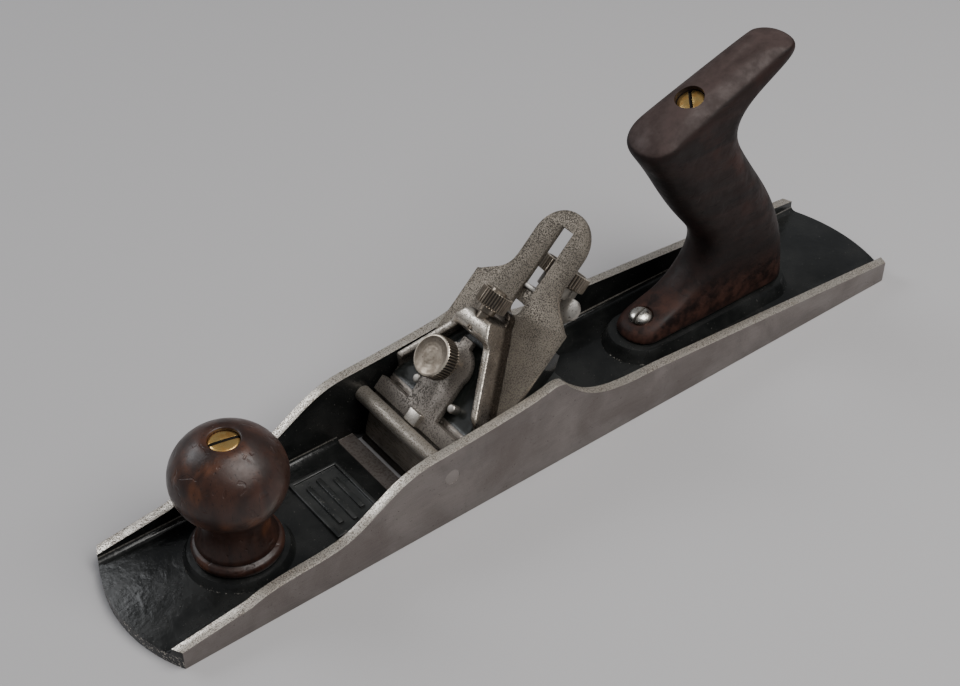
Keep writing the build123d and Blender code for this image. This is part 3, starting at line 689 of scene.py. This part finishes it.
def makeRelief():
    # a raised frame with three bars in it
    x, y = relief["middle"]
    z = relief["foot"] + relief["rise"] / 2
    startFresh()
    bpy.ops.mesh.primitive_cube_add(size=1, location=(x, y, z))
    border = bpy.context.object
    border.name = "castRelief"
    border.scale = (relief["length"], relief["width"], relief["rise"])
    bpy.ops.object.transform_apply(location=True, rotation=True, scale=True)
    bpy.ops.object.mode_set(mode="EDIT")
    # the top drawn in and sunk, leaving the border
    selectFaces(border, lambda face: face.normal.z > 0.9)
    bpy.ops.mesh.inset(thickness=relief["line"])
    bpy.ops.mesh.extrude_region_move(TRANSFORM_OT_translate={"value": (0, 0, -relief["rise"] * 0.75)})
    bpy.ops.object.mode_set(mode="OBJECT")
    easeEdges(border, relief["corner"], 30)
    for place, length in relief["bars"].items():
        startFresh()
        bpy.ops.mesh.primitive_cube_add(size=1, location=(x + place, y, z))
        bar = bpy.context.object
        bar.scale = (relief["barWidth"], length, relief["rise"])
        bpy.ops.object.transform_apply(location=True, rotation=True, scale=True)
        easeEdges(bar, relief["barEdge"])
        border.select_set(True)
        bar.select_set(True)
        bpy.context.view_layer.objects.active = border
        bpy.ops.object.join()
    return border


finishPiece(makeRelief(), "bed", japan)
print("bed casting finished")

# ---- front knob and its nut
knob = {
    "x": -130.6 * mm, "foot": 8 * mm, "ball": 42.5 * mm, "ballRadius": 20.7 * mm, "ballHeight": 18 * mm,
    "bore": 4.4 * mm, "seat": 5.6 * mm, "seatFloor": 55.2 * mm, "top": 59.15 * mm, "turns": 20,
    "nutTop": 58.5 * mm, "nutSlotAngle": -12, "ballFrom": -44, "ballTo": 69,
}
nutSlot = {"length": 16 * mm, "width": 1.35 * mm, "depth": 1.5 * mm}


def makeKnob():
    # radius and height in mm: foot ring, groove and waist, then the ball and the nut's seat
    lower = [
        (4.4, 8), (15.3, 8), (15.95, 8.5), (16.4, 9.5), (16.45, 10.6), (16.1, 11.7), (15.3, 12.3),
        (14.6, 12.45), (14.35, 12.75), (14.6, 13.1), (14.75, 13.5), (14.1, 15.0), (13.3, 17.0),
        (12.65, 19.6), (12.3, 22.2), (12.4, 24.6), (12.9, 26.8), (13.7, 28.6),
    ]
    profile = [(r * mm, z * mm) for r, z in lower]
    first, last = math.radians(knob["ballFrom"]), math.radians(knob["ballTo"])
    for i in range(knob["turns"] + 1):
        t = first + (last - first) * i / knob["turns"]
        profile.append((knob["ballRadius"] * math.cos(t), knob["ball"] + knob["ballHeight"] * math.sin(t)))
    top = knob["top"]
    profile += [(6.1 * mm, top), (5.75 * mm, top - 0.1 * mm), (knob["seat"], top - 0.4 * mm)]
    profile += [(knob["seat"], knob["seatFloor"]), (knob["bore"], knob["seatFloor"]), profile[0]]
    return turned("frontKnob", profile, (knob["x"], 0), 96)


finishPiece(makeKnob(), "bed", knobWood, ["front_knob"], 50)


def makeNut(name, top, slotAngle, place=None, centre=(0, 0)):
    # slotted brass nut: low dome over a barrel
    profile = [(0, 0), (2.4, -0.03), (4.5, -0.14), (5.1, -0.32), (5.38, -0.62), (5.38, -3.2)]
    profile += [(4.2, -3.3), (4.2, -14), (0, -14)]
    nut = turned(name, [(r * mm, top + z * mm) for r, z in profile], centre, 64)
    cutSlot(nut, {"at": (*centre, top), "angle": slotAngle, **nutSlot})
    easeEdges(nut, 0.1 * mm, 50)
    if place is not None:
        nut.data.transform(place)
    return nut


knobBrass = makeBrass("knobBrass", (knob["x"], 0, knob["nutTop"]))
knobNut = makeNut("knobNut", knob["nutTop"], knob["nutSlotAngle"], None, (knob["x"], 0))
finishPiece(knobNut, "bed", knobBrass, ["knob_nut"])

# ---- tote: stacked sections from the foot up to the worn top, each with its own front and back point
rod = {"foot": Vector((121, 0, 10)) * mm, "top": Vector((74.1, 0, 111.6)) * mm}
rodUp = (rod["top"] - rod["foot"]).normalized()
rodAcross = rodUp.cross(Vector((0, 1, 0)))
rodPlace = Matrix((
    (0, rodAcross.x, rodUp.x, rod["foot"].x),
    (1, 0, 0, 0),
    (0, rodAcross.z, rodUp.z, rod["foot"].z),
    (0, 0, 0, 1),
))
rodLength = (rod["top"] - rod["foot"]).length

# in mm: front point, back point, half width at each, length of the two rounded ends, rise between them
toteSections = [
    ((49.0, 10.0), (133.2, 10.0), (10.4, 10.9), (10.4, 12.5), 0),
    ((49.1, 11.0), (133.0, 12.0), (10.5, 11.1), (10.5, 13.0), 0),
    ((49.7, 13.6), (132.6, 16.0), (10.2, 11.3), (10.5, 14.0), 0),
    ((52.6, 16.2), (132.0, 20.5), (9.4, 11.5), (10.5, 15.0), 0),
    ((59.0, 18.2), (131.3, 25.5), (8.8, 11.7), (11.0, 16.0), 0),
    ((68.0, 20.6), (130.0, 31.0), (8.9, 11.9), (12.0, 16.0), 0),
    ((77.5, 26.9), (127.8, 38.0), (9.8, 12.0), (13.0, 16.0), 0),
    ((83.3, 33.5), (124.6, 45.5), (10.6, 12.1), (13.5, 16.0), 0),
    ((85.4, 40.5), (120.6, 53.5), (11.2, 12.1), (13.5, 16.0), 0),
    ((83.6, 47.0), (115.2, 62.0), (11.6, 12.1), (13.5, 15.0), 0),
    ((78.3, 53.6), (109.0, 70.5), (11.8, 12.1), (13.5, 14.0), 0),
    ((71.8, 61.6), (102.4, 80.0), (11.9, 12.0), (13.5, 13.0), 0),
    ((64.8, 72.0), (96.6, 89.0), (12.0, 12.0), (13.5, 13.0), 0),
    ((57.6, 83.8), (94.6, 96.5), (12.1, 12.0), (13.5, 13.0), 0),
    ((52.6, 91.0), (96.3, 102.6), (12.2, 11.9), (13.5, 14.0), 1.0),
    ((49.8, 94.8), (103.0, 109.2), (12.3, 11.6), (13.0, 15.0), 2.6),
    ((48.7, 96.6), (116.5, 116.2), (12.4, 11.2), (12.5, 14.0), 4.6),
    ((48.4, 97.8), (122.2, 119.4), (12.5, 10.7), (12.5, 13.0), 6.0),
    ((48.9, 99.2), (123.1, 121.8), (12.2, 10.4), (12.4, 12.6), 6.2),
    ((50.2, 101.0), (122.4, 123.5), (11.5, 9.8), (12.2, 12.2), 5.8),
]
# the worn top drawn in to a close
toteTop = [
    ((53.8, 104.4), (119.4, 124.8), (9.0, 7.8), (11.0, 11.0), 4.3),
    ((61.0, 108.6), (113.4, 125.0), (6.0, 5.2), (9.0, 9.0), 2.9),
    ((69.5, 112.8), (106.5, 124.0), (2.6, 2.4), (6.0, 6.0), 1.9),
]


def sectionRing(section, around):
    # an oval with flat flanks through its front and back points, rising between them near the horn
    (frontX, frontZ), (backX, backZ), (frontHalf, backHalf), (frontEnd, backEnd), rise = section
    front, back = Vector((frontX, 0, frontZ)) * mm, Vector((backX, 0, backZ)) * mm
    chord = back - front
    length = chord.length
    along = chord / length
    ring = []
    for i in range(around):
        angle = math.tau * (i + 0.5) / around
        c, s = math.cos(angle), math.sin(angle)
        bulge = abs(s) ** 0.9
        if c > 0:
            reach, wide = frontEnd * mm * (1 - abs(c) ** 0.85), frontHalf
        else:
            reach, wide = length - backEnd * mm * (1 - abs(c) ** 0.85), backHalf
        lift = rise * mm * math.sin(math.pi * (reach / length) ** 1.6)
        ring.append(front + along * reach + Vector((0, math.copysign(wide * bulge * mm, s), lift)))
    return ring


def makeTote(around=36):
    sections = toteSections + toteTop
    startFresh()
    bpy.ops.mesh.primitive_circle_add(vertices=around, radius=10 * mm, fill_type="NGON")
    tote = bpy.context.object
    tote.name = "toteHandle"
    for point, at in zip(tote.data.vertices, sectionRing(sections[0], around)):
        point.co = at
    bpy.ops.object.mode_set(mode="EDIT")
    bpy.ops.mesh.select_all(action="SELECT")
    bpy.ops.mesh.inset(thickness=0.4 * mm)
    bpy.ops.mesh.select_all(action="DESELECT")
    bpy.ops.mesh.select_mode(type="VERT")
    bpy.ops.object.mode_set(mode="OBJECT")
    for point in tote.data.vertices[:around]:
        point.select = True
    bpy.ops.object.mode_set(mode="EDIT")
    bpy.ops.mesh.select_mode(type="EDGE")
    for section in sections[1:]:
        # the open rim is drawn up and each of its points set on the next section
        bpy.ops.object.mode_set(mode="EDIT")
        bpy.ops.mesh.extrude_region_move(TRANSFORM_OT_translate={"value": (0, 0, mm)})
        bpy.ops.object.mode_set(mode="OBJECT")
        fresh = [point for point in tote.data.vertices if point.select]
        for point, at in zip(fresh, sectionRing(section, around)):
            point.co = at
    bpy.ops.object.mode_set(mode="EDIT")
    bpy.ops.mesh.edge_face_add()
    bpy.ops.mesh.select_all(action="SELECT")
    bpy.ops.mesh.normals_make_consistent(inside=False)
    bpy.ops.object.mode_set(mode="OBJECT")
    smooth = tote.modifiers.new("smooth", "SUBSURF")
    smooth.levels = 2
    smooth.render_levels = 2
    applyAll(tote)
    return tote


toteWear = {"voxel": 0.75 * mm, "passes": 8, "edge": 0.25 * mm}
toteNut = {"bore": 5.65 * mm, "depth": 3.2 * mm, "above": 20 * mm, "drop": 0.1 * mm, "slotAngle": 140}
toteScrew = {
    "x": 57.6 * mm, "seat": 17 * mm, "bore": 5.15 * mm, "above": 13 * mm, "head": 4.8 * mm,
    "rim": 0.4 * mm, "dome": 3.2 * mm, "shank": 2.25 * mm, "foot": 9 * mm,
}
toteSlot = {
    "at": (toteScrew["x"], 0, toteScrew["seat"] + toteScrew["rim"] + toteScrew["dome"]), "angle": 15,
    "length": 14 * mm, "width": 1.15 * mm, "depth": 1.3 * mm,
}

tote = makeTote()
softened(tote, toteWear["voxel"], toteWear["passes"])
boreHole(tote, toteNut["bore"], rodLength - toteNut["depth"], rodLength + toteNut["above"], place=rodPlace)
screwTop = toteScrew["seat"] + toteScrew["above"]
boreHole(tote, toteScrew["bore"], toteScrew["seat"], screwTop, (toteScrew["x"], 0))
easeEdges(tote, toteWear["edge"], 55)
finishPiece(tote, "bed", toteWood, ["tote"], 45)
toteBrass = makeBrass("toteBrass", rod["top"], math.atan2(rodUp.x, rodUp.z))
nut = makeNut("toteNut", rodLength - toteNut["drop"], toteNut["slotAngle"], rodPlace)
finishPiece(nut, "bed", toteBrass, ["tote_nut"])


def makeToteScrew():
    # a round slotted head on a plain shank
    head, seat, shank, foot = (toteScrew[key] for key in ("head", "seat", "shank", "foot"))
    profile = []
    for degrees in range(0, 91, 10):
        t = math.radians(degrees)
        profile.append((head * math.sin(t), seat + toteScrew["rim"] + toteScrew["dome"] * math.cos(t)))
    profile += [(head, seat), (shank, seat), (shank, foot), (0, foot)]
    screw = turned("toteScrew", profile, (toteScrew["x"], 0), 64)
    cutSlot(screw, toteSlot)
    easeEdges(screw, 0.12 * mm, 50)
    return screw


finishPiece(makeToteScrew(), "bed", makeNickel("brightNickel", toteSlot), ["tote_screw"])
print("knob and tote finished")

# ---- knurled wheels: "front" and "back" are steps out from each end face, as new radius and rise
thumbPlace = slopePlace(47.6 * mm)
capScrewLine = 12.7 * mm
gearLine = -13 * mm
thumb = {
    "radius": 8.1 * mm, "low": 19.0 * mm, "high": 24.4 * mm, "teeth": 44, "toothDepth": 0.7 * mm,
    "front": [
        (7.85 * mm, 0.25 * mm), (7.5 * mm, 0.3 * mm), (7.1 * mm, 0.05 * mm), (6.8 * mm, -0.12 * mm),
        (3.0 * mm, 0.1 * mm),
    ],
    "back": [(7.75 * mm, 0.5 * mm), (2.85 * mm, 0.0), (2.85 * mm, 9.0 * mm)],
    "bore": (1.2 * mm, 9.0 * mm, 12.2 * mm),
    "axis": thumbPlace.translation, "tilt": -math.pi / 4, "ringPitch": 1.3 * mm,
}
capWheel = {
    "radius": 6.3 * mm, "low": 73.0 * mm, "high": 78.6 * mm, "teeth": 34, "toothDepth": 0.7 * mm,
    "front": [
        (5.9 * mm, 0.3 * mm), (5.2 * mm, 0.0), (5.0 * mm, -0.4 * mm), (3.3 * mm, 0.0), (3.1 * mm, 1.2 * mm),
        (2.8 * mm, 0.1 * mm),
    ],
    "back": [
        (5.9 * mm, 0.4 * mm), (3.4 * mm, 0.0), (3.3 * mm, 2.2 * mm), (2.4 * mm, 0.4 * mm),
        (2.4 * mm, 7.6 * mm),
    ],
    "axis": slopePlace(0, 0, capScrewLine).translation, "tilt": math.pi / 4, "ringPitch": 0.9 * mm,
}
gear = {
    "radius": 10.2 * mm, "low": 94.1 * mm, "high": 99.3 * mm, "teeth": 44, "toothDepth": 0.8 * mm,
    "front": [
        (9.7 * mm, 0.4 * mm), (8.3 * mm, 0.0), (8.0 * mm, -0.5 * mm), (4.6 * mm, 0.0), (4.4 * mm, 0.4 * mm),
    ],
    "back": [
        (9.7 * mm, 0.4 * mm), (4.6 * mm, 0.0), (4.6 * mm, 5.6 * mm), (5.6 * mm, 0.05 * mm),
        (5.6 * mm, 1.8 * mm),
    ],
    "bore": (2.95 * mm, 80 * mm, 110 * mm),
    "axis": slopePlace(0, 0, gearLine).translation, "tilt": math.pi / 4, "ringPitch": 1.2 * mm,
}


def makeWheel(name, wheel, place, materialName, node):
    # cut upright, then set on its own axis; it rides on the body named like its node
    piece = knurledWheel(name, wheel)
    if "bore" in wheel:
        boreHole(piece, *wheel["bore"])
    piece.data.transform(place)
    finishPiece(piece, node, makeWheelSteel(materialName, wheel), [node])


makeWheel("thumbWheel", thumb, thumbPlace, "thumbSteel", "thumbscrew")
makeWheel("capScrew", capWheel, alongSlope(capScrewLine), "capWheelSteel", "cap_screw")
makeWheel("depthGear", gear, alongSlope(gearLine), "gearSteel", "depth_gear")
print("wheels finished")

# ---- cap: the frame's casting worn round, and the other metal pieces with eased edges
capWear = {"voxel": 0.45 * mm, "passes": 24}
cap = copyOf("cap", "capCasting")
softened(cap, capWear["voxel"], capWear["passes"])
finishPiece(cap, "cap", capSurface, ["cap"], 60)

# each node's body, material, slot and the width of its eased edges in mm
easedPieces = {
    "cutter": ("cutter", cutterSteel, "pitted_steel", 0.22),
    "stop_plate": ("cutter", cutterSteel, "pitted_steel", 0.3),
    "clamp_lever": ("clamp_lever", leverSteel, "pitted_steel", 0.3),
    "cross_pin": ("bed", pinSteel, "pitted_steel", 0.08),
    "side_lever": ("side_lever", groundSteel, "ground_steel", 0.3),
    "depth_finger": ("depth_carriage", groundSteel, "ground_steel", 0.3),
    "guide_studs": ("cap", groundSteel, "ground_steel", 0.15),
    "adjuster_bracket": ("bed", dullSteel, "plain_steel", 0.4),
    "frog": ("bed", japan, "japanned_iron", 0.6),
    "swivel_foot": ("swivel_foot", dullSteel, "plain_steel", 0.15),
    "depth_screw": ("depth_carriage", dullSteel, "plain_steel", 0.2),
    "frog_washers": ("bed", dullSteel, "plain_steel", 0.15),
    "frog_screws": ("bed", dullSteel, "plain_steel", 0.15),
    "bracket_screws": ("bed", dullSteel, "plain_steel", 0.15),
}
lug = {"at": (23.6 * mm, 0, 12.5 * mm), "size": (5.2 * mm, 6.4 * mm, 3.2 * mm), "edge": 0.5 * mm}


def makeLug():
    # the square lug in the middle of the lever's bar, in a brighter steel
    startFresh()
    bpy.ops.mesh.primitive_cube_add(size=1)
    block = bpy.context.object
    block.name = "leverLug"
    block.scale = lug["size"]
    bpy.ops.object.transform_apply(location=True, rotation=True, scale=True)
    easeEdges(block, lug["edge"], 35, 3)
    block.data.transform(slopePlace(*lug["at"]))
    return block


finishPiece(makeLug(), "clamp_lever", brightSteel)

for node, (body, material, slotName, edge) in easedPieces.items():
    words = node.split("_")
    name = words[0] + "".join(word.capitalize() for word in words[1:] or ["piece"])
    eased = copyOf(node, name)
    easeEdges(eased, edge * mm)
    finishPiece(eased, body, material, [node])

# frame pieces that keep their own shape
for node in ("knob_stud", "tote_rod", "side_stud", "side_pivot"):
    nodes[node].data.materials.clear()
    nodes[node].data.materials.append(dullSteel)
print("metal pieces finished")

# ---- floor, light and camera
stage = {
    "colour": (0.42, 0.415, 0.425), "size": 6.0, "aimedAt": (0, 0, 0.03),
    "airColour": (0.75, 0.77, 0.8, 1), "airStrength": 0.24,
}


def makeFloor():
    startFresh()
    bpy.ops.mesh.primitive_plane_add(size=stage["size"], location=(0, 0, 0))
    floor = bpy.context.object
    floor.name = "floor"
    surface = Surface("paleFloor", stage["colour"], 0.0, 0.75)
    tone = surface.noise(3 * mm, 2.0)
    floor.data.materials.append(surface.give(normal=surface.relief(tone, 0.01 * mm, 0.15)))


def aim(thing, target):
    direction = Vector(target) - thing.location
    thing.rotation_euler = direction.to_track_quat("-Z", "Y").to_euler()


lights = [
    {"name": "keyLight", "place": (0.25, -0.55, 1.15), "size": 1.1, "power": 22, "colour": (1.0, 0.98, 0.95)},
    {"name": "backLight", "place": (-0.55, 0.9, 0.8), "size": 0.6, "power": 5, "colour": (0.95, 0.97, 1.0)},
]
for light in lights:
    startFresh()
    bpy.ops.object.light_add(type="AREA", location=light["place"])
    lamp = bpy.context.object
    lamp.name = light["name"]
    lamp.data.shape = "SQUARE"
    lamp.data.size = light["size"]
    lamp.data.energy = light["power"]
    lamp.data.color = light["colour"]
    aim(lamp, stage["aimedAt"])

world = bpy.data.worlds.new("studio")
world.use_nodes = True
air = world.node_tree.nodes["Background"]
air.inputs["Color"].default_value = stage["airColour"]
air.inputs["Strength"].default_value = stage["airStrength"]
bpy.context.scene.world = world

view = {
    "place": (-0.29612, -0.35253, 0.42153), "target": (-0.01267, 0.01445, 0.03), "lens": 59.72, "sensor": 36,
    "nearest": 0.01,
}
bpy.ops.object.camera_add(location=view["place"])
camera = bpy.context.object
camera.data.lens = view["lens"]
camera.data.sensor_width = view["sensor"]
camera.data.clip_start = view["nearest"]
aim(camera, view["target"])
bpy.context.scene.camera = camera
makeFloor()
print("stage set")
